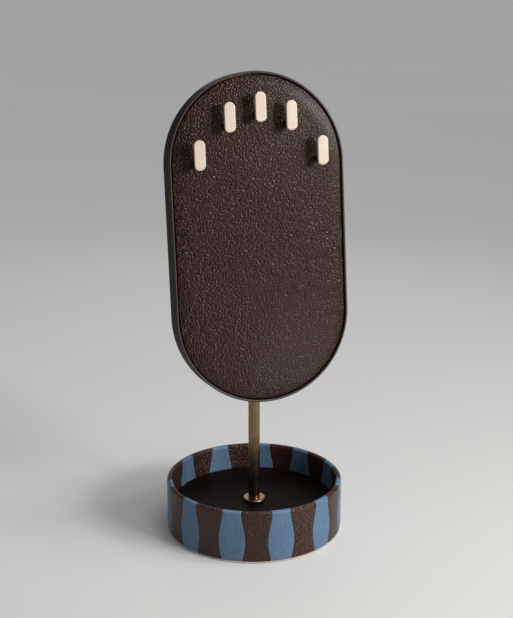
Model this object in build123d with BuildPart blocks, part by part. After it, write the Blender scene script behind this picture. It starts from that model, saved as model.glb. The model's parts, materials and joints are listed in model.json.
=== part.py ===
from build123d import *
import os
from math import cos, pi, radians, sin

os.makedirs("parts", exist_ok=True)

# Necklace stand: a leaning leather panel with five pegs, on a brass post in a round leather tray.
# Millimetres and degrees. The origin is on the table, on the post's axis. +Z is up, the front is -Y.

# Driving dimensions: the tray
tray_radius = 65.0
tray_depth = 19.6
wall_board = 2.4
leather = 0.9
stripe_count = 11
stripes_left = 3
stripe_turn = -1.0
stripe_seam = 45.0
stripe_narrow = 13.6
stripe_wide = 19.6
stripe_wave = 45.4
stripe_steps = 10
floor_lining_thickness = 1.0
floor_board_thickness = 1.8
bottom_board_thickness = 1.6
base_pad_thickness = 1.6
base_pad_inset = 0.4
block_web = 4.0
block_wall = 17.6
ballast_thickness = 6.0

# Driving dimensions: the post and its fastening
post_diameter = 8.5
post_length = 140.0
post_chamfer = 0.6
collar_flange = 4.35
collar_thickness = 2.4
bolt_diameter = 5.0
bolt_head_diameter = 9.0
bolt_head_height = 2.4
bolt_reach = 12.0
clamp_washer_diameter = 18.0
clamp_washer_thickness = 1.0

# Driving dimensions: the tilt joint
panel_lean = 7.4
eye_wall = 0.75
eye_flat = 0.75
eye_shoulder = 1.5
stud_length = 10.0
pin_diameter = 5.0
pin_head_diameter = 9.0
pin_head_height = 2.6
nut_rim = 1.5
nut_height = 5.5
nut_wall = 1.5
washer_thickness = 0.5
ear_thickness = 3.0
ear_margin = 0.5
plate_thickness = 2.0
plate_height = 44.0
plate_margin = 1.8
plate_corner = 4.0
screw_diameter = 3.0
screw_head_diameter = 5.6
screw_head_height = 2.0
screw_bite = 8.5
socket_depth = 1.2

# Driving dimensions: the panel
panel_width = 126.0
panel_height = 230.0
panel_rise = 55.4
back_cover_thickness = 1.5
core_thickness = 11.4
front_board_thickness = 1.5
pad_thickness = 2.1
pad_edge = 0.6
pad_border = 4.5
pad_crown = 0.35
rim_thickness = 1.6
rim_lip = 1.7
rim_back_lip = 0.3
groove_width = 0.5

# Driving dimensions: the pegs
peg_inset = 19.0
outer_peg_drop = 55.3
inner_peg_drop = 30.8
middle_peg_drop = 24.5
peg_width = 7.7
peg_height = 20.2
peg_depth = 2.4
peg_gap = 8.1
peg_toe_height = 3.2
peg_toe_depth = 1.8
peg_toe_bulge = 0.3
peg_front_round = 0.6
peg_back_round = 0.4
stalk_diameter = 5.0
stalk_drop = 5.6
spigot_diameter = 3.0
spigot_length = 1.4
stalk_thread = 6.5

# Shares: rounded edges as a part of their wall, and a drive hexagon as a part of its shank
edge_round = 0.45
head_round = 0.4
drive_share = 0.6

# Clearances
fit = 0.05
glue_gap = 0.05
seam_gap = 0.05
head_clearance = 0.2
hinge_gap = 0.5
counterbore_clearance = 0.3
end_clearance = 0.5

# Levels of the base, from the table up
pad_top = base_pad_thickness
bottom_top = pad_top + bottom_board_thickness
bolt_head_bottom = bottom_top + head_clearance
washer_bottom = bolt_head_bottom + bolt_head_height
ballast_bottom = washer_bottom + clamp_washer_thickness
pocket_top = ballast_bottom + ballast_thickness
block_top = pocket_top + block_web
floor_board_top = block_top + floor_board_thickness
floor_level = floor_board_top + floor_lining_thickness
rim_level = floor_level + tray_depth

# Radii of the tray wall and of what it holds
wall_total = wall_board + 2 * (leather + glue_gap)
wall_middle = tray_radius - wall_total / 2
wall_inner = wall_middle - wall_board / 2
wrap_inner = tray_radius - wall_total
shoulder_level = rim_level - wall_total / 2
block_radius = wall_inner - fit
ballast_radius = block_radius - block_wall
floor_radius = wrap_inner - fit

# Turns of the stripes about the post: evenly stepped, but for the wider gap at the leather's seam
stripes_range = 360 - stripe_seam
first_stripe = stripe_turn - stripes_left * stripes_range / (stripe_count - 1)

# The tilt joint, from the post's top up to its axis
post_radius = post_diameter / 2
post_top = block_top + post_length
eye_radius = post_radius + eye_wall
eye_width = post_diameter - 2 * eye_flat
ear_radius = eye_radius + ear_margin
pivot_height = post_top + eye_shoulder + hinge_gap + ear_radius
ear_inner = eye_width / 2 + washer_thickness + 2 * fit
ear_outer = ear_inner + ear_thickness
plate_back = eye_radius + hinge_gap
screw_head_radius = screw_head_diameter / 2
screw_offset = ear_outer + screw_head_radius + plate_margin / 2
screw_row = plate_height / 2 - screw_head_radius - plate_margin
plate_width = 2 * (screw_offset + screw_head_radius + plate_margin)
screw_length = plate_thickness + back_cover_thickness + screw_bite
nut_size = pin_diameter + 2 * nut_rim

# Levels of the panel, from the tilt axis towards its front
back_level = plate_back + plate_thickness
core_back = back_level + back_cover_thickness
core_front = core_back + core_thickness
board_front = core_front + front_board_thickness
pad_front = board_front + pad_thickness
rim_front = board_front + rim_lip
rim_back = back_level - rim_back_lip
head_back = pad_front + peg_gap
head_front = head_back + peg_depth

# Half widths of the panel's layers, and the straight part between its two round ends
half_width = panel_width / 2
straight = panel_height - panel_width
rim_inner = half_width - rim_thickness
core_half = rim_inner - glue_gap
pad_half = rim_inner - groove_width

# The panel's own axes: it faces forward and up, because it leans back
panel_normal = (0, -cos(radians(panel_lean)), sin(radians(panel_lean)))
hinge_plane = Plane(origin=(0, 0, pivot_height), x_dir=(1, 0, 0), z_dir=panel_normal)
panel_plane = Plane(
    origin=hinge_plane.from_local_coords((0, panel_rise, 0)), x_dir=(1, 0, 0), z_dir=panel_normal
)
across_plane = Plane(origin=panel_plane.origin, x_dir=(1, 0, 0), z_dir=-panel_plane.y_dir)
side_plane = Plane(origin=hinge_plane.origin, x_dir=panel_plane.y_dir, z_dir=(1, 0, 0))
front_axis = Axis((0, 0, 0), panel_normal)

# Places of the peg heads, evenly spaced across and dropped from the panel's top, of the stalks that
# carry them near their lower ends, and of the bracket's screws
peg_spacing = (half_width - peg_inset) / 2
peg_drops = (outer_peg_drop, inner_peg_drop, middle_peg_drop, inner_peg_drop, outer_peg_drop)
peg_places = [
    (column * peg_spacing, panel_height / 2 - drop) for column, drop in zip(range(-2, 3), peg_drops)
]
stalk_places = [(across, up - stalk_drop) for across, up in peg_places]
screw_places = [
    (side * screw_offset, row * screw_row) for side in (-1, 1) for row in (-1, 1)
]


def save(piece, name):
    """Label one finished piece and write it to its own file."""
    piece.part.label = name
    export_step(piece.part, f"parts/{name}.step")


def stadium(half, mode=Mode.ADD):
    """Draw the panel's capsule outline, with the given half width."""
    SlotCenterToCenter(straight, 2 * half, rotation=90, mode=mode)


def wall_section(thickness):
    """Draw the tray wall's upright section with a full round on top."""
    height = shoulder_level - pad_top
    with Locations((wall_middle, pad_top + height / 2)):
        Rectangle(thickness, height)
    with Locations((wall_middle, shoulder_level)):
        Circle(thickness / 2)


def wrap_section():
    """Draw the leather's section: up the outside, over the rim, and down to the block."""
    board_height = shoulder_level - pad_top
    leg_height = block_top - pad_top
    wall_section(wall_total)
    with Locations((wall_middle, pad_top + board_height / 2)):
        Rectangle(wall_board + 2 * glue_gap, board_height, mode=Mode.SUBTRACT)
    with Locations((wall_middle, shoulder_level)):
        Circle(wall_board / 2 + glue_gap, mode=Mode.SUBTRACT)
    with Locations((wrap_inner, pad_top + leg_height / 2)):
        Rectangle(2 * (leather + glue_gap), leg_height, mode=Mode.SUBTRACT)


def stripe_face(inset):
    """Return one stripe: narrowest at the rim, wide below it and narrower at the foot, as a wave."""
    middle = (stripe_wide + stripe_narrow) / 4
    swing = (stripe_wide - stripe_narrow) / 4
    edge = []
    for step in range(-1, stripe_steps + 2):
        down = step * (rim_level - pad_top) / stripe_steps
        half = middle - swing * cos(2 * pi * down / stripe_wave) - inset
        edge.append((half, rim_level - down))
    other_edge = [(-across, up) for across, up in edge]
    with BuildSketch(Plane.XZ.offset(wrap_inner - wall_total)) as stripe:
        with BuildLine():
            Spline(*edge)
            Line(edge[-1], other_edge[-1])
            Spline(*other_edge)
            Line(edge[0], other_edge[0])
        make_face()
    return stripe.sketch


def pad_half_face(plane):
    """Return half of the pad's section: nearly flat, with a border that rolls down to its edge."""
    border_start = pad_half - pad_border
    edge_level = board_front + pad_edge
    border_level = pad_front - pad_crown
    with BuildSketch(plane) as half_section:
        with BuildLine():
            Line((0, board_front), (pad_half, board_front))
            Line((pad_half, board_front), (pad_half, edge_level))
            Spline((pad_half, edge_level), (border_start, border_level), tangents=[(0, 1), (-1, 0)])
            Spline((border_start, border_level), (0, pad_front), tangents=[(-1, 0), (-1, 0)])
            Line((0, pad_front), (0, board_front))
        make_face()
    return half_section.sketch


def stripe_turns():
    """Return the places of the stripes round the post."""
    return PolarLocations(0, stripe_count, first_stripe, stripes_range, endpoint=True)


def toe_face(head_place):
    """Return what is cut off a peg head's front at its lower end, in the panel's side view."""
    head_foot = panel_rise + head_place[1] - peg_height / 2
    toe_start = (head_foot, head_front - peg_toe_depth)
    toe_end = (head_foot + peg_toe_height, head_front)
    outside = (head_foot - peg_toe_height, head_front + peg_toe_depth)
    with BuildSketch(side_plane.offset(head_place[0])) as toe:
        with BuildLine():
            SagittaArc(toe_start, toe_end, peg_toe_bulge)
            Polyline(toe_end, (toe_end[0], outside[1]), outside, (outside[0], toe_start[1]), toe_start)
        make_face()
    return toe.sketch


def hexagon(across_flats):
    """Draw the hexagon of a nut or of a screw's drive."""
    RegularPolygon(across_flats / 2, 6, major_radius=False)


# Cream pad that the stand rests on
with BuildPart() as base_pad:
    with BuildSketch(Plane.XY):
        Circle(tray_radius - base_pad_inset)
    extrude(amount=base_pad_thickness)
save(base_pad, "base_pad")

# Board that closes the base from below
with BuildPart() as bottom_board:
    with BuildSketch(Plane.XY.offset(pad_top)):
        Circle(block_radius)
    extrude(amount=bottom_board_thickness)
save(bottom_board, "bottom_board")

# Block that carries the post, with a pocket for the ballast
with BuildPart() as base_block:
    with BuildSketch(Plane.XY.offset(bottom_top)):
        Circle(block_radius)
    extrude(amount=block_top - bottom_top)
    with BuildSketch(Plane.XY.offset(bottom_top)):
        Circle(ballast_radius + fit)
    extrude(amount=pocket_top - bottom_top, mode=Mode.SUBTRACT)
    with BuildSketch(Plane.XY.offset(pocket_top)):
        Circle(bolt_diameter / 2 + fit)
    extrude(amount=block_web, mode=Mode.SUBTRACT)
save(base_block, "base_block")

# Steel weight in the pocket
with BuildPart() as ballast_disc:
    with BuildSketch(Plane.XY.offset(ballast_bottom)):
        Circle(ballast_radius)
        Circle(bolt_diameter / 2 + fit, mode=Mode.SUBTRACT)
    extrude(amount=ballast_thickness)
save(ballast_disc, "ballast_disc")

# Washer between the bolt's head and the weight
with BuildPart() as clamp_washer:
    with BuildSketch(Plane.XY.offset(washer_bottom)):
        Circle(clamp_washer_diameter / 2)
        Circle(bolt_diameter / 2 + fit, mode=Mode.SUBTRACT)
    extrude(amount=clamp_washer_thickness)
save(clamp_washer, "clamp_washer")

# Bolt from below, through washer, weight and block, into the post's foot
with BuildPart() as clamp_bolt:
    with BuildSketch(Plane.XY.offset(bolt_head_bottom)):
        Circle(bolt_head_diameter / 2)
    extrude(amount=bolt_head_height)
    with BuildSketch(Plane.XY.offset(washer_bottom)):
        Circle(bolt_diameter / 2)
    extrude(amount=block_top + bolt_reach - washer_bottom)
    with BuildSketch(Plane.XY.offset(bolt_head_bottom)):
        hexagon(drive_share * bolt_diameter)
    extrude(amount=socket_depth, mode=Mode.SUBTRACT)
save(clamp_bolt, "clamp_bolt")

# Bent board of the tray wall
with BuildPart() as tray_wall:
    with BuildSketch(Plane.XZ):
        wall_section(wall_board)
    revolve(axis=Axis.Z)
save(tray_wall, "tray_wall")

# Shape of one stripe, right through the wall
stripe_reach = 3 * wall_total
with BuildPart() as stripe_cutter:
    extrude(stripe_face(0), amount=stripe_reach)

# Brown leather bands of the wrap
with BuildPart() as tray_wrap:
    with BuildSketch(Plane.XZ):
        wrap_section()
    revolve(axis=Axis.Z)
    with stripe_turns():
        add(stripe_cutter.part, mode=Mode.SUBTRACT)
save(tray_wrap, "tray_wrap")

# One blue leather band, and the ring of them
with BuildPart() as stripe_band:
    with BuildSketch(Plane.XZ):
        wrap_section()
    revolve(axis=Axis.Z)
    extrude(stripe_face(seam_gap), amount=stripe_reach, mode=Mode.INTERSECT)
with BuildPart() as stripe_bands:
    with stripe_turns():
        add(stripe_band.part)
save(stripe_bands, "stripe_bands")

# Board of the tray floor
with BuildPart() as floor_board:
    with BuildSketch(Plane.XY.offset(block_top)):
        Circle(floor_radius)
        Circle(post_radius + fit, mode=Mode.SUBTRACT)
    extrude(amount=floor_board_thickness)
save(floor_board, "floor_board")

# Soft lining on the floor
with BuildPart() as floor_lining:
    with BuildSketch(Plane.XY.offset(floor_board_top)):
        Circle(floor_radius)
        Circle(post_radius + fit, mode=Mode.SUBTRACT)
    extrude(amount=floor_lining_thickness)
save(floor_lining, "floor_lining")

# Flange collar round the post's foot
with BuildPart() as foot_collar:
    with BuildSketch(Plane.XY.offset(floor_level)):
        Circle(post_radius + collar_flange)
    extrude(amount=collar_thickness)
    fillet(foot_collar.edges().filter_by(GeomType.CIRCLE), edge_round * collar_thickness)
    with BuildSketch(Plane.XY.offset(floor_level)):
        Circle(post_radius + fit)
    extrude(amount=collar_thickness, mode=Mode.SUBTRACT)
save(foot_collar, "foot_collar")

# Post, tapped at both ends
with BuildPart() as post:
    with BuildSketch(Plane.XY.offset(block_top)):
        Circle(post_radius)
    extrude(amount=post_length)
    chamfer(post.edges().filter_by(GeomType.CIRCLE), post_chamfer)
    with BuildSketch(Plane.XY.offset(block_top)):
        Circle(bolt_diameter / 2 + fit)
    extrude(amount=bolt_reach + end_clearance, mode=Mode.SUBTRACT)
    with BuildSketch(Plane.XY.offset(post_top)):
        Circle(bolt_diameter / 2 + fit)
    extrude(amount=-(stud_length + end_clearance), mode=Mode.SUBTRACT)
save(post, "post")

# Eye on the post: stud, round shoulder, flat neck and barrel
with BuildPart() as post_eye:
    with BuildSketch(Plane.XY.offset(post_top)):
        Circle(bolt_diameter / 2)
    extrude(amount=-stud_length)
    with BuildSketch(Plane.XY.offset(post_top)):
        Circle(post_radius)
    extrude(amount=eye_shoulder)
    with BuildSketch(Plane.XY.offset(post_top)):
        Circle(post_radius)
        Rectangle(eye_width, post_diameter, mode=Mode.INTERSECT)
    extrude(amount=pivot_height - post_top)
    with BuildSketch(Plane.YZ):
        with Locations((0, pivot_height)):
            Circle(eye_radius)
    extrude(amount=eye_width / 2, both=True)
    with BuildSketch(Plane.YZ):
        with Locations((0, pivot_height)):
            Circle(pin_diameter / 2 + fit)
    extrude(amount=eye_width / 2, both=True, mode=Mode.SUBTRACT)
save(post_eye, "post_eye")

# Bracket on the panel's back: a plate with two ears
ear_reach = plate_back + plate_thickness / 2
with BuildPart() as hinge_bracket:
    with BuildSketch(hinge_plane.offset(plate_back)):
        RectangleRounded(plate_width, plate_height, plate_corner)
    extrude(amount=plate_thickness)
    for side in (-1, 1):
        with BuildSketch(side_plane.offset(side * (ear_inner + ear_thickness / 2))):
            Circle(ear_radius)
            with Locations((0, ear_reach / 2)):
                Rectangle(2 * ear_radius, ear_reach)
        extrude(amount=ear_thickness / 2, both=True)
    with BuildSketch(side_plane):
        Circle(pin_diameter / 2 + fit)
    extrude(amount=ear_outer, both=True, mode=Mode.SUBTRACT)
    with BuildSketch(hinge_plane.offset(plate_back)):
        with Locations(*screw_places):
            Circle(screw_diameter / 2 + fit)
    extrude(amount=plate_thickness, mode=Mode.SUBTRACT)
save(hinge_bracket, "hinge_bracket")

# Pin through ears and eye, with a round head on the left
pin_tip = ear_outer + nut_height - nut_wall - end_clearance
with BuildPart() as hinge_pin:
    with BuildSketch(side_plane.offset(-ear_outer)):
        Circle(pin_diameter / 2)
    extrude(amount=ear_outer + pin_tip)
    with BuildSketch(side_plane.offset(-ear_outer)):
        Circle(pin_head_diameter / 2)
    extrude(amount=-pin_head_height)
    head_rim = hinge_pin.faces().sort_by(Axis.X)[0].edges()
    fillet(head_rim, head_round * pin_head_height)
    with BuildSketch(side_plane.offset(-ear_outer - pin_head_height)):
        hexagon(drive_share * pin_diameter)
    extrude(amount=socket_depth, mode=Mode.SUBTRACT)
save(hinge_pin, "hinge_pin")

# Cap nut on the pin's right end
with BuildPart() as hinge_nut:
    with BuildSketch(side_plane.offset(ear_outer)):
        hexagon(nut_size)
    extrude(amount=nut_height / 2)
    with BuildSketch(side_plane.offset(ear_outer + nut_height / 2)):
        Circle(nut_size / 2)
    extrude(amount=nut_height / 2)
    cap_edge = hinge_nut.faces().sort_by(Axis.X)[-1].edges()
    fillet(cap_edge, edge_round * nut_height)
    with BuildSketch(side_plane.offset(ear_outer)):
        Circle(pin_diameter / 2 + fit)
    extrude(amount=nut_height - nut_wall, mode=Mode.SUBTRACT)
save(hinge_nut, "hinge_nut")

# Friction washers on both sides of the eye
with BuildPart() as friction_washers:
    for side in (-1, 1):
        with BuildSketch(side_plane.offset(side * (ear_inner - fit - washer_thickness / 2))):
            Circle(eye_radius)
            Circle(pin_diameter / 2 + fit, mode=Mode.SUBTRACT)
        extrude(amount=washer_thickness / 2, both=True)
save(friction_washers, "friction_washers")

# Four screws that hold the bracket to the core
with BuildPart() as bracket_screws:
    with BuildSketch(hinge_plane.offset(plate_back)):
        with Locations(*screw_places):
            Circle(screw_head_radius)
    extrude(amount=-screw_head_height)
    head_rims = bracket_screws.faces().group_by(front_axis)[0].edges()
    fillet(head_rims, head_round * screw_head_height)
    with BuildSketch(hinge_plane.offset(plate_back)):
        with Locations(*screw_places):
            Circle(screw_diameter / 2)
    extrude(amount=screw_length)
    with BuildSketch(hinge_plane.offset(plate_back - screw_head_height)):
        with Locations(*screw_places):
            hexagon(drive_share * screw_diameter)
    extrude(amount=socket_depth, mode=Mode.SUBTRACT)
save(bracket_screws, "bracket_screws")

# Covered board on the panel's back
with BuildPart() as back_cover:
    with BuildSketch(panel_plane.offset(back_level)):
        stadium(core_half)
    extrude(amount=back_cover_thickness)
    with BuildSketch(hinge_plane.offset(back_level)):
        with Locations(*screw_places):
            Circle(screw_diameter / 2 + fit)
    extrude(amount=back_cover_thickness, mode=Mode.SUBTRACT)
save(back_cover, "back_cover")

# Core board: holes for the peg screws, sunk at the back, and for the bracket's screws
screw_sink = screw_head_height + counterbore_clearance
with BuildPart() as panel_core:
    with BuildSketch(panel_plane.offset(core_back)):
        stadium(core_half)
    extrude(amount=core_thickness)
    with BuildSketch(panel_plane.offset(core_back)):
        with Locations(*stalk_places):
            Circle(screw_diameter / 2 + fit)
    extrude(amount=core_thickness, mode=Mode.SUBTRACT)
    with BuildSketch(panel_plane.offset(core_back)):
        with Locations(*stalk_places):
            Circle(screw_head_radius + counterbore_clearance)
    extrude(amount=screw_sink, mode=Mode.SUBTRACT)
    with BuildSketch(hinge_plane.offset(core_back)):
        with Locations(*screw_places):
            Circle(screw_diameter / 2 + fit)
    extrude(amount=plate_back + screw_length + end_clearance - core_back, mode=Mode.SUBTRACT)
save(panel_core, "panel_core")

# Leather-wrapped edge strip, proud of the front as a rounded lip
with BuildPart() as rim_band:
    with BuildSketch(panel_plane.offset(rim_back)):
        stadium(half_width)
        stadium(rim_inner, Mode.SUBTRACT)
    extrude(amount=rim_front - rim_back)
    faces_along = rim_band.faces().sort_by(front_axis)
    fillet(faces_along[0].edges() + faces_along[-1].edges(), edge_round * rim_thickness)
save(rim_band, "rim_band")

# Thin board under the pad
with BuildPart() as front_board:
    with BuildSketch(panel_plane.offset(core_front)):
        stadium(pad_half)
        with Locations(*stalk_places):
            Circle(stalk_diameter / 2 + fit, mode=Mode.SUBTRACT)
    extrude(amount=front_board_thickness)
save(front_board, "front_board")

# Crowned leather pad: one straight stretch and two round ends of the same section
with BuildPart() as front_pad:
    extrude(pad_half_face(across_plane), amount=straight / 2, both=True)
    mirror(about=Plane.YZ)
    for end in (-1, 1):
        end_origin = panel_plane.from_local_coords((0, end * straight / 2, 0))
        end_plane = Plane(origin=end_origin, x_dir=(1, 0, 0), z_dir=-panel_plane.y_dir)
        end_axis = Axis(end_origin, end * panel_plane.z_dir)
        revolve(pad_half_face(end_plane), axis=end_axis, revolution_arc=180)
    with BuildSketch(panel_plane.offset(board_front)):
        with Locations(*stalk_places):
            Circle(stalk_diameter / 2 + fit)
    extrude(amount=pad_thickness, mode=Mode.SUBTRACT)
save(front_pad, "front_pad")

# Pegs: a stalk that stands on the core, and a thin capsule head with a rounded toe on its spigot
for number, (head_place, stalk_place) in enumerate(zip(peg_places, stalk_places), start=1):
    with BuildPart() as peg_stalk:
        with BuildSketch(panel_plane.offset(core_front)):
            with Locations(stalk_place):
                Circle(stalk_diameter / 2)
        extrude(amount=head_back - core_front)
        with BuildSketch(panel_plane.offset(head_back)):
            with Locations(stalk_place):
                Circle(spigot_diameter / 2)
        extrude(amount=spigot_length)
        with BuildSketch(panel_plane.offset(core_front)):
            with Locations(stalk_place):
                Circle(screw_diameter / 2 + fit)
        extrude(amount=stalk_thread + end_clearance, mode=Mode.SUBTRACT)
    save(peg_stalk, f"peg_stalk_{number}")

    with BuildPart() as peg_head:
        with BuildSketch(panel_plane.offset(head_back)):
            with Locations(head_place):
                SlotOverall(peg_height, peg_width, rotation=90)
        extrude(amount=peg_depth)
        head_faces = peg_head.faces().sort_by(front_axis)
        fillet(head_faces[-1].edges(), peg_front_round)
        fillet(peg_head.faces().sort_by(front_axis)[0].edges(), peg_back_round)
        extrude(toe_face(head_place), amount=peg_width, both=True, mode=Mode.SUBTRACT)
        with BuildSketch(panel_plane.offset(head_back)):
            with Locations(stalk_place):
                Circle(spigot_diameter / 2 + fit)
        extrude(amount=spigot_length + fit, mode=Mode.SUBTRACT)
    save(peg_head, f"peg_head_{number}")

# Screws through the core into the stalks
with BuildPart() as peg_screws:
    head_top = core_back + screw_sink
    with BuildSketch(panel_plane.offset(head_top)):
        with Locations(*stalk_places):
            Circle(screw_head_radius)
    extrude(amount=-screw_head_height)
    with BuildSketch(panel_plane.offset(head_top)):
        with Locations(*stalk_places):
            Circle(screw_diameter / 2)
    extrude(amount=core_front + stalk_thread - head_top)
    with BuildSketch(panel_plane.offset(head_top - screw_head_height)):
        with Locations(*stalk_places):
            hexagon(drive_share * screw_diameter)
    extrude(amount=socket_depth, mode=Mode.SUBTRACT)
save(peg_screws, "peg_screws")
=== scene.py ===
import json
from math import asin, cos, pi, radians, sin

import bmesh
import bpy
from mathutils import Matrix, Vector, noise


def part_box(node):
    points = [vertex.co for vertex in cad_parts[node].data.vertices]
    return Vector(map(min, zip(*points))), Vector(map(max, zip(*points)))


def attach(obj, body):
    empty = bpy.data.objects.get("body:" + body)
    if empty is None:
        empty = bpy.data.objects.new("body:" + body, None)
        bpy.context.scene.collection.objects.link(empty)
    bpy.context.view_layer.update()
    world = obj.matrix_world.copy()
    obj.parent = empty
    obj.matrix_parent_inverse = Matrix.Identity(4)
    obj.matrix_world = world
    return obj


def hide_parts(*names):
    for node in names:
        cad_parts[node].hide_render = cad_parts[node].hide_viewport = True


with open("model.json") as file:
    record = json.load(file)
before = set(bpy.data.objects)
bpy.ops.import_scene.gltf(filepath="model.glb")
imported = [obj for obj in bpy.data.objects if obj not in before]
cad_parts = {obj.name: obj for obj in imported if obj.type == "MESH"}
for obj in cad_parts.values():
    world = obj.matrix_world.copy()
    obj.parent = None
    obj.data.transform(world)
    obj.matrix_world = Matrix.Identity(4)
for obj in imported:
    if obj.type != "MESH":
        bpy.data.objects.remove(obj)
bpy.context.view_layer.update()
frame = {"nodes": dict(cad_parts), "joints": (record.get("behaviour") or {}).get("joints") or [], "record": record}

# Necklace stand: a leaning leather panel with five pegs, on a brass post in a round leather tray.
# Metres. The front is -Y. Sizes come from the frame where it holds them.
MM = 0.001

# The photograph's frame, and the camera fitted to it
PHOTO_HEIGHT = 618
FOCAL_PIXELS = 1168.7
SENSOR = 36.0
CAMERA_PLACE = Vector((-253.5, -767.2, 393.75)) * MM
CAMERA_PITCH = radians(15.606)
CAMERA_HEADING = radians(18.412)

# Panel: its pad's rolled border with painted shade in the groove at its foot, crown and waves, and the dimples
# round its pegs
PEG_COUNT = 5
PAD_BORDER = 12 * MM
PAD_ROLL = 2.4
PAD_EDGE = 0.6 * MM
GROOVE_SHADE_SHARE = 0.12
PAD_CROWN = 0.35 * MM
PAD_WAVE = 0.12 * MM
PAD_WAVE_LENGTH = 26 * MM
DIMPLE_DEPTH = 0.4 * MM
DIMPLE_REACH = 6.5 * MM

# Panel: its edge strip, whose forward-turned lip gets lighter leather as a painted highlight, its back cover and
# its bores
RIM_ROUND = 0.72 * MM
LIP_TURN = 0.3
BACK_ROUND = 0.7 * MM
BORE_CLEARANCE = 0.05 * MM
SCREW_HEAD_RADIUS = 2.8 * MM
SCREW_RADIUS = 1.5 * MM

# Tray: the wave of its stripes, and how its bands are cut and rolled
STRIPE_COUNT = 11
STRIPES_LEFT = 3
STRIPE_TURN = radians(-1.0)
STRIPE_SEAM = radians(45.0)
STRIPE_STEP = (2 * pi - STRIPE_SEAM) / (STRIPE_COUNT - 1)
STRIPE_NARROW = 13.6 * MM
STRIPE_WIDE = 19.6 * MM
STRIPE_WAVE = 45.4 * MM
SEAM_GAP = 0.04 * MM
EDGE_ROLL = 0.22 * MM
EDGE_WIDTH = 0.7 * MM
FOOT_ROLL = 0.3 * MM
FOOT_WIDTH = 0.9 * MM
GLUE_GAP = 0.05 * MM
LINING_ROUND = 0.45 * MM
FELT_ROUND = 0.55 * MM

# Mesh steps
ARC_STEPS = 96
SIDE_STEPS = 60
ROUND_STEPS = 160
CORNER_STEPS = 6
BORDER_STEPS = 18
CROWN_STEPS = 26
LEG_STEPS = 26
RIM_STEPS = 14
BAND_STEPS = 22
BORE_STEPS = 40
MERGE = 1e-7
SHARP_ANGLE = radians(50)

# The panel's own axes: across, up and out of its front, from the tilt axis
tilt = frame["joints"][0]
pivot = Vector(tilt["pos_m"])
lean = radians(-tilt["range_deg"][0])
across = Vector((1, 0, 0))
upward = Vector((0, sin(lean), cos(lean)))
outward = Vector((0, -cos(lean), sin(lean)))


def on_panel(u, v, n):
    """Return the place of a panel point."""
    return pivot + across * u + upward * v + outward * n


def panel_span(node):
    """Return the lowest and highest reach of a node along the panel's own axes."""
    places = [vertex.co - pivot for vertex in frame["nodes"][node].data.vertices]
    reaches = [[place.dot(axis) for place in places] for axis in (across, upward, outward)]
    return [min(reach) for reach in reaches], [max(reach) for reach in reaches]


rim_low, rim_high = panel_span("rim_band")
pad_low, pad_high = panel_span("front_pad")
back_low, back_high = panel_span("back_cover")
core_high = panel_span("panel_core")[1]
half_width = rim_high[0]
panel_centre = (rim_low[1] + rim_high[1]) / 2
straight = rim_high[1] - rim_low[1] - 2 * half_width
rim_inner = core_high[0] + GLUE_GAP

# The tray's levels and radii
wrap_low, wrap_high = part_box("tray_wrap")
wall_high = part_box("tray_wall")[1]
lining_low, lining_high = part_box("floor_lining")
board_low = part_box("floor_board")[0]
felt_low, felt_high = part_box("base_pad")
tray_radius = wrap_high.x
tray_foot = wrap_low.z
rim_level = wrap_high.z
leather_depth = rim_level - wall_high.z - GLUE_GAP
lining_radius = lining_high.x
wrap_inner = lining_radius + GLUE_GAP
rim_round = (tray_radius - wrap_inner) / 2
wall_middle = (tray_radius + wrap_inner) / 2
shoulder = rim_level - rim_round


# Shader nodes

# Noise gathers round its middle, so blends run over this span of it
NOISE_SPAN = (0.3, 0.7)

# Leather: shares of one cell, then its roughness, its sheen and its slow changes of tone
SWAY_PITCH = 0.6
SWAY_REACH = 0.5
CELL_DISORDER = 0.9
DOME_REACH = 0.5
CREASE_REACH = 0.22
PORE_SIZE = 0.2
TOP_SHARE = 0.35
PORE_SHARE = 0.12
CREASE_ROUGHER = 0.2
POLISH_ROUGH = 0.25
BROWN_SHEEN = (1.0, 0.92, 0.88)
WARM_SHEEN = (1.0, 0.82, 0.72)
PLAIN_SHEEN = (1.0, 1.0, 1.0)
LEATHER_PATCH = 30 * MM
LEATHER_TONES = (0.88, 1.12)

# Brass: turned lines that are long round the post and fine along it, and patches of patina
LINE_STRETCH = (0.05, 0.05, 1.0)
LINE_PITCH = 0.12 * MM
LINE_DEPTH = 0.006 * MM
PATINA_PATCH = 9 * MM
PATINA_SPAN = (0.3, 0.65)
PATINA_SHARE = 0.5
HAZE_SPAN = (0.4, 1.1)
HAZE_SMOOTHER = 0.05
HAZE_ROUGHER = 0.08

# Lacquer
LACQUER_PATCH = 7 * MM
LACQUER_ROUGH = (0.17, 0.24)
LACQUER_GLOSS = 0.6
PEEL_PITCH = 0.7 * MM
PEEL_DEPTH = 0.008 * MM

# Suede and felt
DRIFT_PATCH = 14 * MM
DRIFT_SHARE = 0.6
NAP_SPAN = (0.55, 1.05)
NAP_ROUGH = (0.82, 0.98)
NAP_GLOSS = 0.15
NAP_SHEEN_ROUGH = 0.5
NAP_RISE = 1 / 3

# Plain stock
SPECK_SPAN = (0.35, 0.65)
SPECK_ROUGHER = 0.06
SPECK_RISE = 0.05


def add(tree, kind, inputs=None, **settings):
    """Add one shader node. Each input is a fixed value, or the output that it is joined to."""
    node = tree.nodes.new("ShaderNode" + kind)
    for key, value in settings.items():
        setattr(node, key, value)
    for socket, value in (inputs or {}).items():
        if isinstance(value, bpy.types.NodeSocket):
            tree.links.new(value, node.inputs[socket])
        else:
            node.inputs[socket].default_value = value
    return node


def surface(name):
    """Start a material: return it, its node tree, its shader and its place in the object."""
    material = bpy.data.materials.new(name)
    material.use_nodes = True
    tree = material.node_tree
    shader = tree.nodes["Principled BSDF"]
    place = add(tree, "TexCoord").outputs["Object"]
    return material, tree, shader, place


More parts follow.
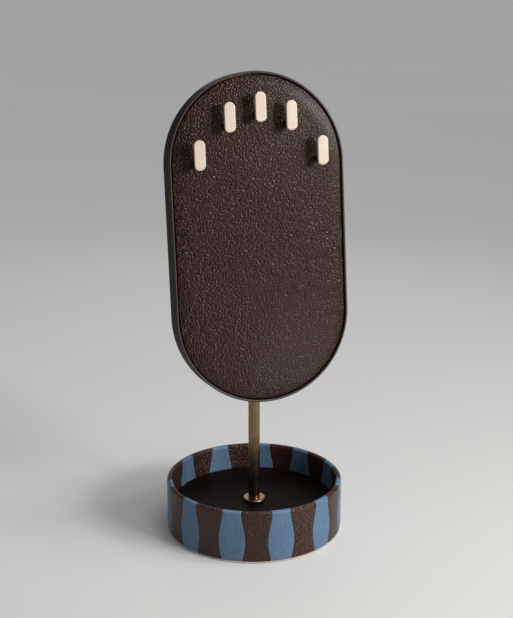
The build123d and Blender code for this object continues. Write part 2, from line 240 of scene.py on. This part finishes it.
def ramp(tree, factor, dark, light, start=0.0, end=1.0):
    """Blend two colours by a factor."""
    node = add(tree, "ValToRGB", {"Fac": factor})
    for element, position, colour in zip(node.color_ramp.elements, (start, end), (dark, light)):
        element.position = position
        element.color = (*colour, 1.0)
    return node.outputs["Color"]


def spread(tree, value, low, high, start=0.0, end=1.0, smooth=False):
    """Map a value from one range to another."""
    inputs = {"Value": value, "From Min": start, "From Max": end, "To Min": low, "To Max": high}
    kind = "SMOOTHSTEP" if smooth else "LINEAR"
    return add(tree, "MapRange", inputs, interpolation_type=kind).outputs["Result"]


def grain(tree, place, size, detail=3.0):
    """Return soft noise whose features have about the given size."""
    inputs = {"Vector": place, "Scale": 1 / size, "Detail": detail}
    return add(tree, "TexNoise", inputs).outputs["Fac"]


def blend(tree, first, second, share):
    """Return first, with a share of second added."""
    return add(tree, "Math", {0: second, 1: share, 2: first}, operation="MULTIPLY_ADD").outputs[0]


def toned(tree, colour, place, size, tones):
    """Make a colour darker and lighter in slow patches."""
    value = spread(tree, grain(tree, place, size), *tones, *NOISE_SPAN)
    return add(tree, "HueSaturation", {"Color": colour, "Value": value}).outputs["Color"]


def relief(tree, shader, height, depth):
    """Give the shader a bumpy surface of the given depth."""
    bump = add(tree, "Bump", {"Height": height, "Distance": depth})
    tree.links.new(bump.outputs["Normal"], shader.inputs["Normal"])


def leather(name, shaded_crease, face, cell, depth, rough, gloss, sheen=BROWN_SHEEN, polish=0.0):
    """Pebble-grain leather: domed cells between creases darkened with painted shade, pores, and slow changes of
    tone.
    """
    material, tree, shader, place = surface(name)
    wander = {"Vector": place, "Scale": SWAY_PITCH / cell, "Detail": 2.0}
    sway = add(tree, "TexNoise", wander).outputs["Color"]
    reach = [SWAY_REACH * cell] * 3
    bent = add(tree, "VectorMath", {0: sway, 1: reach, 2: place}, operation="MULTIPLY_ADD")
    lattice = {"Vector": bent.outputs["Vector"], "Scale": 1 / cell, "Randomness": CELL_DISORDER}
    away = add(tree, "TexVoronoi", lattice).outputs["Distance"]
    border = add(tree, "TexVoronoi", lattice, feature="DISTANCE_TO_EDGE").outputs["Distance"]
    fall = add(tree, "Math", {0: away, 1: away}, operation="MULTIPLY").outputs[0]
    dome = spread(tree, fall, 1.0, 0.0, 0.0, DOME_REACH)
    top = spread(tree, border, 0.0, 1.0, 0.0, CREASE_REACH, smooth=True)
    pores = grain(tree, place, cell * PORE_SIZE)
    height = blend(tree, blend(tree, dome, top, TOP_SHARE), pores, PORE_SHARE)
    # Creases get a much darker colour than the cell tops: the leather's own darker creases with painted shade
    # added
    colour = toned(tree, ramp(tree, top, shaded_crease, face), place, LEATHER_PATCH, LEATHER_TONES)
    tree.links.new(colour, shader.inputs["Base Color"])
    tree.links.new(spread(tree, top, rough + CREASE_ROUGHER, rough), shader.inputs["Roughness"])
    shader.inputs["Specular IOR Level"].default_value = gloss
    shader.inputs["Specular Tint"].default_value = (*sheen, 1.0)
    shader.inputs["Coat Weight"].default_value = polish
    shader.inputs["Coat Roughness"].default_value = POLISH_ROUGH
    relief(tree, shader, height, depth)
    return material


def brass(name, dark, light, rough):
    """Satin brass: fine turned lines, and a faint brown patina in patches."""
    material, tree, shader, place = surface(name)
    stretched = add(tree, "VectorMath", {0: place, 1: LINE_STRETCH}, operation="MULTIPLY")
    turned = grain(tree, stretched.outputs["Vector"], LINE_PITCH, detail=4.0)
    patina = grain(tree, place, PATINA_PATCH, detail=4.0)
    tree.links.new(ramp(tree, patina, dark, light, *PATINA_SPAN), shader.inputs["Base Color"])
    haze = blend(tree, turned, patina, PATINA_SHARE)
    dullness = spread(tree, haze, rough - HAZE_SMOOTHER, rough + HAZE_ROUGHER, *HAZE_SPAN)
    tree.links.new(dullness, shader.inputs["Roughness"])
    shader.inputs["Metallic"].default_value = 1.0
    relief(tree, shader, turned, LINE_DEPTH)
    return material


def lacquer(name, dark, light):
    """Smooth lacquer with a trace of orange peel."""
    material, tree, shader, place = surface(name)
    patches = grain(tree, place, LACQUER_PATCH)
    tree.links.new(ramp(tree, patches, dark, light, *NOISE_SPAN), shader.inputs["Base Color"])
    peel = grain(tree, place, PEEL_PITCH, detail=2.0)
    tree.links.new(spread(tree, peel, *LACQUER_ROUGH, *NOISE_SPAN), shader.inputs["Roughness"])
    shader.inputs["Specular IOR Level"].default_value = LACQUER_GLOSS
    relief(tree, shader, peel, PEEL_DEPTH)
    return material


def suede(name, dark, light, nap, sheen):
    """Napped cloth, suede or felt: short fibres that lie in drifts."""
    material, tree, shader, place = surface(name)
    fibres = grain(tree, place, nap, detail=5.0)
    drifts = grain(tree, place, DRIFT_PATCH)
    tone = blend(tree, fibres, drifts, DRIFT_SHARE)
    tree.links.new(ramp(tree, tone, dark, light, *NAP_SPAN), shader.inputs["Base Color"])
    tree.links.new(spread(tree, fibres, *NAP_ROUGH), shader.inputs["Roughness"])
    shader.inputs["Specular IOR Level"].default_value = NAP_GLOSS
    shader.inputs["Sheen Weight"].default_value = sheen
    shader.inputs["Sheen Roughness"].default_value = NAP_SHEEN_ROUGH
    relief(tree, shader, fibres, nap * NAP_RISE)
    return material


def stock(name, dark, light, size, rough, metallic=0.0):
    """Plain stock of a hidden piece: board, steel or plastic, with its own grain."""
    material, tree, shader, place = surface(name)
    specks = grain(tree, place, size, detail=4.0)
    tree.links.new(ramp(tree, specks, dark, light, *SPECK_SPAN), shader.inputs["Base Color"])
    dullness = spread(tree, specks, rough - SPECK_ROUGHER, rough + SPECK_ROUGHER)
    tree.links.new(dullness, shader.inputs["Roughness"])
    shader.inputs["Metallic"].default_value = metallic
    relief(tree, shader, specks, size * SPECK_RISE)
    return material


# Finishes: the panel's and the tray's leathers, with a lighter lip leather as a painted highlight and a near-black
# groove leather as painted shade, then one finish for each material slot
panel_leather = leather(
    "panel_leather", shaded_crease=(0.0026, 0.0007, 0.0004), face=(0.026, 0.0084, 0.0040),
    cell=1.8 * MM, depth=0.24 * MM, rough=0.125, gloss=0.22, sheen=WARM_SHEEN, polish=0.10)
edge_leather = leather(
    "edge_leather", shaded_crease=(0.006, 0.002, 0.001), face=(0.014, 0.0052, 0.0026),
    cell=1.2 * MM, depth=0.05 * MM, rough=0.36, gloss=0.03)
# Lighter, glossier leather for the lip's forward faces: a painted highlight along the lip
lip_painted_highlight = leather(
    "lip_painted_highlight", shaded_crease=(0.018, 0.011, 0.007), face=(0.036, 0.023, 0.015),
    cell=1.2 * MM, depth=0.03 * MM, rough=0.30, gloss=0.45)
# Near-black leather for the foot of the pad's rolled border: painted shade in the groove inside the lip
groove_painted_shade = leather(
    "groove_painted_shade", shaded_crease=(0.002, 0.0012, 0.0008), face=(0.004, 0.002, 0.0014),
    cell=1.2 * MM, depth=0.03 * MM, rough=0.60, gloss=0.0)
brown_leather = leather(
    "tray_brown_leather", shaded_crease=(0.014, 0.0046, 0.0026), face=(0.060, 0.0215, 0.0128),
    cell=1.7 * MM, depth=0.28 * MM, rough=0.18, gloss=0.36)
blue_leather = leather(
    "tray_blue_leather", shaded_crease=(0.084, 0.147, 0.233), face=(0.111, 0.191, 0.299),
    cell=1.6 * MM, depth=0.13 * MM, rough=0.38, gloss=0.24, sheen=PLAIN_SHEEN)
dark_lining = leather(
    "lining_leather", shaded_crease=(0.005, 0.0024, 0.0014), face=(0.008, 0.004, 0.0024),
    cell=0.7 * MM, depth=0.02 * MM, rough=0.36, gloss=0.025)
finishes = {
    "brown_leather": panel_leather,
    "blue_leather": blue_leather,
    "dark_lining": dark_lining,
    "satin_brass": brass(
        "satin_brass", dark=(0.175, 0.115, 0.062), light=(0.275, 0.19, 0.11), rough=0.28),
    "cream_lacquer": lacquer("cream_lacquer", dark=(0.60, 0.50, 0.417), light=(0.645, 0.54, 0.452)),
    "dark_suede": suede(
        "dark_suede", dark=(0.010, 0.007, 0.006), light=(0.030, 0.020, 0.016), nap=0.35 * MM,
        sheen=0.25),
    "cream_felt": suede(
        "cream_felt", dark=(0.42, 0.38, 0.32), light=(0.62, 0.57, 0.50), nap=0.3 * MM, sheen=0.2),
    "grey_board": stock(
        "grey_board", dark=(0.22, 0.21, 0.19), light=(0.33, 0.32, 0.29), size=0.5 * MM, rough=0.85),
    "fibre_board": stock(
        "fibre_board", dark=(0.23, 0.14, 0.08), light=(0.36, 0.24, 0.14), size=0.8 * MM, rough=0.8),
    "steel_weight": stock(
        "steel_weight", dark=(0.20, 0.20, 0.21), light=(0.30, 0.30, 0.31), size=1.2 * MM, rough=0.5,
        metallic=1.0),
    "zinc_steel": stock(
        "zinc_steel", dark=(0.48, 0.48, 0.47), light=(0.58, 0.58, 0.58), size=0.6 * MM, rough=0.35,
        metallic=1.0),
    "nylon": stock(
        "nylon", dark=(0.55, 0.53, 0.46), light=(0.64, 0.62, 0.55), size=0.4 * MM, rough=0.5),
}
for row in frame["record"]["subparts"]:
    for material_slot in frame["nodes"][row["node"]].material_slots:
        material_slot.material = finishes[row["material_slot"]]


# Meshes

def add_loft(work, rings, closed=False, capped=False):
    """Join rings of points with quads. A closed loft joins its last ring to the first."""
    made = [[work.verts.new(point) for point in ring] for ring in rings]
    following = made[1:] + made[:1] if closed else made[1:]
    for near, far in zip(made, following):
        for index in range(len(near)):
            work.faces.new((near[index - 1], near[index], far[index], far[index - 1]))
    if capped:
        work.faces.new(made[0])
        work.faces.new(made[-1])


def new_piece(name, work, material):
    """Finish a mesh: merge points that meet, turn its faces outward and shade it smooth."""
    bmesh.ops.remove_doubles(work, verts=work.verts, dist=MERGE)
    bmesh.ops.recalc_face_normals(work, faces=work.faces)
    mesh = bpy.data.meshes.new(name)
    work.to_mesh(mesh)
    work.free()
    mesh.shade_smooth()
    mesh.set_sharp_from_angle(angle=SHARP_ANGLE)
    mesh.materials.append(material)
    piece = bpy.data.objects.new(name, mesh)
    bpy.context.scene.collection.objects.link(piece)
    return piece


def place_piece(piece, body, node):
    """Let a piece ride on its body and stand for its node."""
    weighted = piece.modifiers.new("weighted_normals", "WEIGHTED_NORMAL")
    weighted.keep_sharp = True
    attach(piece, body)
    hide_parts(node)


def stadium_ring(half, level, rise=None):
    """Return points round the panel's capsule outline, at a level in front of the tilt axis."""
    outline = []
    for end in (1, -1):
        for step in range(ARC_STEPS):
            turn = pi * step / ARC_STEPS
            outline.append((end * half * cos(turn), end * (straight / 2 + half * sin(turn))))
        for step in range(SIDE_STEPS):
            outline.append((-end * half, end * straight * (0.5 - step / SIDE_STEPS)))
    ring = []
    for u, v in outline:
        lift = rise(u, panel_centre + v) if rise else 0.0
        ring.append(on_panel(u, panel_centre + v, level + lift))
    return ring


def circle_ring(radius, height):
    """Return points round the post's axis."""
    turns = [2 * pi * step / ROUND_STEPS for step in range(ROUND_STEPS)]
    return [Vector((radius * cos(turn), radius * sin(turn), height)) for turn in turns]


def rounded_box(inner, outer, low, high, rounds):
    """Return a section's outline from its low inner corner, each corner rounded by its own radius."""
    corners = [Vector((inner, low)), Vector((outer, low)), Vector((outer, high)), Vector((inner, high))]
    outline = []
    for index, (corner, radius) in enumerate(zip(corners, rounds)):
        if radius == 0:
            outline.append(corner)
            continue
        before = (corners[index - 1] - corner).normalized()
        after = (corners[(index + 1) % 4] - corner).normalized()
        centre = corner + radius * (before + after)
        for step in range(CORNER_STEPS + 1):
            turn = pi / 2 * step / CORNER_STEPS
            outline.append(centre - radius * (after * cos(turn) + before * sin(turn)))
    return outline


def bore(piece, places, radius, low, high):
    """Cut round holes through a piece along the panel's normal."""
    work = bmesh.new()
    for u, v in places:
        turns = [2 * pi * step / BORE_STEPS for step in range(BORE_STEPS)]
        circle = [(u + radius * cos(turn), v + radius * sin(turn)) for turn in turns]
        rings = [[on_panel(x, y, level) for x, y in circle] for level in (low, high)]
        add_loft(work, rings, capped=True)
    cutter = new_piece("cutter", work, piece.data.materials[0])
    cut = piece.modifiers.new("bore", "BOOLEAN")
    cut.object = cutter
    cut.solver = "EXACT"
    graph = bpy.context.evaluated_depsgraph_get()
    bored = bpy.data.meshes.new_from_object(piece.evaluated_get(graph))
    piece.modifiers.remove(cut)
    piece.data = bored
    bpy.data.objects.remove(cutter)


# Panel: places of the stalks and of the bracket's screws
stalk_spans = [panel_span(f"peg_stalk_{number}") for number in range(1, PEG_COUNT + 1)]
stalk_places = [((low[0] + high[0]) / 2, (low[1] + high[1]) / 2) for low, high in stalk_spans]
stalk_radius = (stalk_spans[0][1][0] - stalk_spans[0][0][0]) / 2
screw_low, screw_high = panel_span("bracket_screws")
screw_places = [
    (u, v)
    for u in (screw_low[0] + SCREW_HEAD_RADIUS, screw_high[0] - SCREW_HEAD_RADIUS)
    for v in (screw_low[1] + SCREW_HEAD_RADIUS, screw_high[1] - SCREW_HEAD_RADIUS)
]


def pad_rise(u, v):
    """Return how the pad's leather swells and sinks: slow waves, and a dimple round each stalk."""
    wave = PAD_WAVE * noise.noise(Vector((u, v, 0)) / PAD_WAVE_LENGTH)
    dimple = 0.0
    for stalk_u, stalk_v in stalk_places:
        away = Vector((u - stalk_u, v - stalk_v)).length / DIMPLE_REACH
        if away < 1:
            dimple += DIMPLE_DEPTH * (1 - away * away) ** 2
    return wave - dimple


def make_pad():
    """Leather front pad: flat behind, with a rolled border, painted shade where it starts, and a low crown."""
    half = pad_high[0]
    back = pad_low[2]
    front = pad_high[2] - PAD_WAVE
    edge = back + PAD_EDGE
    border = front - PAD_CROWN
    rings = [stadium_ring(half * share, back) for share in (0.0, 0.5, 1.0)]
    for step in range(BORDER_STEPS):
        share = step / BORDER_STEPS
        level = border - (border - edge) * (1 - share) ** PAD_ROLL
        rings.append(stadium_ring(half - PAD_BORDER * share, level))
    for step in range(CROWN_STEPS + 1):
        share = step / CROWN_STEPS
        level = border + PAD_CROWN * share * (2 - share)
        rings.append(stadium_ring((half - PAD_BORDER) * (1 - share), level, pad_rise))
    work = bmesh.new()
    add_loft(work, rings)
    pad = new_piece("panel_pad", work, panel_leather)
    bore(pad, stalk_places, stalk_radius + BORE_CLEARANCE, back - MM, pad_high[2] + MM)
    # Faces low on the rolled border get the near-black leather: painted shade in the groove inside the lip
    pad.data.materials.append(groove_painted_shade)
    groove = edge + GROOVE_SHADE_SHARE * (border - edge)
    for face in pad.data.polygons:
        face.material_index = int((face.center - pivot).dot(outward) < groove)
    place_piece(pad, "panel", "front_pad")


def make_rim():
    """Leather-wrapped strip round the panel's edge, with a rounded lip whose forward faces carry a painted
    highlight.
    """
    section = rounded_box(rim_inner, half_width, rim_low[2], rim_high[2], [RIM_ROUND] * 4)
    work = bmesh.new()
    add_loft(work, [stadium_ring(half, level) for half, level in section], closed=True)
    rim = new_piece("panel_rim", work, edge_leather)
    rim.data.materials.append(lip_painted_highlight)
    # Faces that turn forward get the lighter lip leather: a painted highlight along the lip
    for face in rim.data.polygons:
        face.material_index = int(face.normal.dot(outward) > LIP_TURN)
    place_piece(rim, "panel", "rim_band")


def make_back():
    """Suede-covered board on the panel's back, with a soft edge."""
    half = back_high[0]
    section = rounded_box(0.0, half, back_low[2], back_high[2], [0, BACK_ROUND, 0, 0])
    work = bmesh.new()
    add_loft(work, [stadium_ring(reach, level) for reach, level in section])
    back = new_piece("panel_back", work, finishes["dark_suede"])
    bore(back, screw_places, SCREW_RADIUS + BORE_CLEARANCE, back_low[2] - MM, back_high[2] + MM)
    place_piece(back, "panel", "back_cover")


def wrap_rows():
    """Return the line of the tray's leather, from its foot over the rim to its inner end.

    Each row holds a radius, a height, and the outward direction there."""
    rows = []
    for step in range(LEG_STEPS):
        height = tray_foot + (shoulder - tray_foot) * step / LEG_STEPS
        rows.append((tray_radius, height, 1.0, 0.0))
    for step in range(RIM_STEPS + 1):
        turn = pi * step / RIM_STEPS
        side, rise = cos(turn), sin(turn)
        rows.append((wall_middle + rim_round * side, shoulder + rim_round * rise, side, rise))
    for step in range(1, LEG_STEPS + 1):
        height = shoulder + (board_low.z - shoulder) * step / LEG_STEPS
        rows.append((wrap_inner, height, -1.0, 0.0))
    return rows


def stripe_half(height):
    """Return half the width of a stripe: narrowest at the rim, wide below it, narrower at the foot."""
    middle = (STRIPE_WIDE + STRIPE_NARROW) / 4
    swing = (STRIPE_WIDE - STRIPE_NARROW) / 4
    return middle - swing * cos(2 * pi * (rim_level - height) / STRIPE_WAVE)


def band_ring(row, start, end):
    """Return the closed section of one band at one row: its face with rolled edges, then its back."""
    radius, height, side, rise = row
    foot = max(0.0, 1 - (height - tray_foot) / FOOT_WIDTH) if side == 1.0 else 0.0
    face = []
    back = []
    for step in range(BAND_STEPS + 1):
        share = (1 - cos(pi * step / BAND_STEPS)) / 2
        angle = start + (end - start) * share
        from_edge = min(share, 1 - share) * (end - start) * radius
        sink = EDGE_ROLL * max(0.0, 1 - from_edge / EDGE_WIDTH) ** 2 + FOOT_ROLL * foot ** 2
        for points, depth in ((face, sink), (back, leather_depth)):
            reach = radius - side * depth
            points.append(Vector((reach * sin(angle), -reach * cos(angle), height - rise * depth)))
    return face + back[::-1]


def make_bands(name, material, node, edges):
    """Make the ring of bands between the two edges that each row gives, as angles from the front."""
    work = bmesh.new()
    for number in range(STRIPE_COUNT):
        rings = []
        for row in wrap_rows():
            start, end = edges(row, number)
            rings.append(band_ring(row, start, end))
        add_loft(work, rings, capped=True)
    place_piece(new_piece(name, work, material), "base", node)


def stripe_turn(number):
    """Return the turn of a stripe's middle: even steps, but for the wider gap at the leather's seam."""
    return STRIPE_TURN + (number - STRIPES_LEFT) * STRIPE_STEP


def stripe_edges(row, number):
    """Return the two edges of a blue stripe."""
    reach = asin((stripe_half(row[1]) - SEAM_GAP) / row[0])
    return stripe_turn(number) - reach, stripe_turn(number) + reach


def ground_edges(row, number):
    """Return the two edges of the brown band that follows a stripe."""
    reach = asin((stripe_half(row[1]) + SEAM_GAP) / row[0])
    following = stripe_turn(number + 1) if number < STRIPE_COUNT - 1 else stripe_turn(0) + 2 * pi
    return stripe_turn(number) + reach, following - reach


def make_lining():
    """Smooth leather on the tray floor, round the post's foot."""
    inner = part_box("post")[1].x + GLUE_GAP
    section = rounded_box(inner, lining_radius, lining_low.z, lining_high.z, [0, 0, LINING_ROUND, 0])
    work = bmesh.new()
    add_loft(work, [circle_ring(radius, height) for radius, height in section], closed=True)
    place_piece(new_piece("tray_lining", work, dark_lining), "base", "floor_lining")


def make_felt():
    """Thin cream felt under the tray."""
    section = rounded_box(0.0, felt_high.x, felt_low.z, felt_high.z, [0, FELT_ROUND, FELT_ROUND, 0])
    work = bmesh.new()
    add_loft(work, [circle_ring(radius, height) for radius, height in section])
    place_piece(new_piece("foot_felt", work, finishes["cream_felt"]), "base", "base_pad")


make_pad()
make_rim()
make_back()
make_bands("tray_leather", brown_leather, "tray_wrap", ground_edges)
make_bands("tray_stripes", blue_leather, "stripe_bands", stripe_edges)
make_lining()
make_felt()


# Stage, light and camera

FLOOR_PALE = (0.66, 0.66, 0.65)
FLOOR_REACH = 40.0
FLOOR_PATCH = 0.6
FLOOR_TONES = (0.985, 1.015)
FLOOR_ROUGH = 0.85
FLOOR_GLOSS = 0.2
HORIZON = (0.20, 0.20, 0.20)
ZENITH = (0.15, 0.15, 0.155)
ZENITH_START = 0.4
DAYLIGHT = 1.35
DAYLIGHT_SOFTNESS = radians(40)
DAYLIGHT_TILT = (radians(18), 0.0, radians(50))
LAMP_SPREAD = radians(120)
WARM_LIGHT = (1.0, 0.98, 0.95)
WHITE_LIGHT = (1.0, 1.0, 1.0)


def make_floor():
    """Plain pale floor."""
    corners = [(-1, -1), (1, -1), (1, 1), (-1, 1)]
    mesh = bpy.data.meshes.new("floor")
    mesh.from_pydata([(x * FLOOR_REACH, y * FLOOR_REACH, 0.0) for x, y in corners], [], [(0, 1, 2, 3)])
    material, tree, shader, place = surface("floor")
    shade = toned(tree, (*FLOOR_PALE, 1.0), place, FLOOR_PATCH, FLOOR_TONES)
    tree.links.new(shade, shader.inputs["Base Color"])
    shader.inputs["Roughness"].default_value = FLOOR_ROUGH
    shader.inputs["Specular IOR Level"].default_value = FLOOR_GLOSS
    mesh.materials.append(material)
    floor = bpy.data.objects.new("floor", mesh)
    bpy.context.scene.collection.objects.link(floor)


def make_world():
    """Soft surroundings: pale round the horizon, dimmer above."""
    world = bpy.data.worlds.new("studio")
    world.use_nodes = True
    tree = world.node_tree
    heading = add(tree, "TexCoord").outputs["Generated"]
    upness = add(tree, "SeparateXYZ", {0: heading}).outputs["Z"]
    shade = ramp(tree, upness, HORIZON, ZENITH, 0.0, ZENITH_START)
    tree.links.new(shade, tree.nodes["Background"].inputs["Color"])
    bpy.context.scene.world = world


def make_daylight():
    """Add broad even light from above, a little to the right of the front."""
    lamp = bpy.data.lights.new("daylight", "SUN")
    lamp.energy = DAYLIGHT
    lamp.angle = DAYLIGHT_SOFTNESS
    light = bpy.data.objects.new("daylight", lamp)
    light.rotation_euler = DAYLIGHT_TILT
    bpy.context.scene.collection.objects.link(light)


def make_light(name, place, target, size, power, colour=WHITE_LIGHT):
    """Add a soft square light that faces a point."""
    lamp = bpy.data.lights.new(name, "AREA")
    lamp.size = size
    lamp.spread = LAMP_SPREAD
    lamp.energy = power
    lamp.color = colour
    light = bpy.data.objects.new(name, lamp)
    light.location = place
    light.rotation_euler = (Vector(target) - Vector(place)).to_track_quat("-Z", "Y").to_euler()
    bpy.context.scene.collection.objects.link(light)


def make_camera():
    """Add the camera at the photograph's viewing point."""
    lens = bpy.data.cameras.new("camera")
    lens.sensor_width = SENSOR
    lens.lens = SENSOR * FOCAL_PIXELS / PHOTO_HEIGHT
    camera = bpy.data.objects.new("camera", lens)
    camera.location = CAMERA_PLACE
    camera.rotation_euler = (pi / 2 - CAMERA_PITCH, 0.0, -CAMERA_HEADING)
    bpy.context.scene.collection.objects.link(camera)
    bpy.context.scene.camera = camera


make_floor()
make_world()
make_daylight()
make_light("key", (0.54, -0.90, 0.56), target=(0, 0, 0.19), size=0.15, power=1.88, colour=WARM_LIGHT)
make_light("side", (0.72, -0.75, 0.53), target=(0, 0, 0.12), size=0.20, power=2.1, colour=WARM_LIGHT)
make_light("sheen", (0.82, -0.42, 0.80), target=(0, 0, 0.28), size=0.22, power=0.7, colour=WARM_LIGHT)
make_light("card", (0.12, -0.26, 0.11), target=(0, -0.04, 0.28), size=0.10, power=0.08)
make_light("back", (0.35, 1.0, 0.65), target=(0, 0, 0.2), size=0.60, power=0.5)
make_camera()
bpy.context.scene.view_settings.view_transform = "Standard"
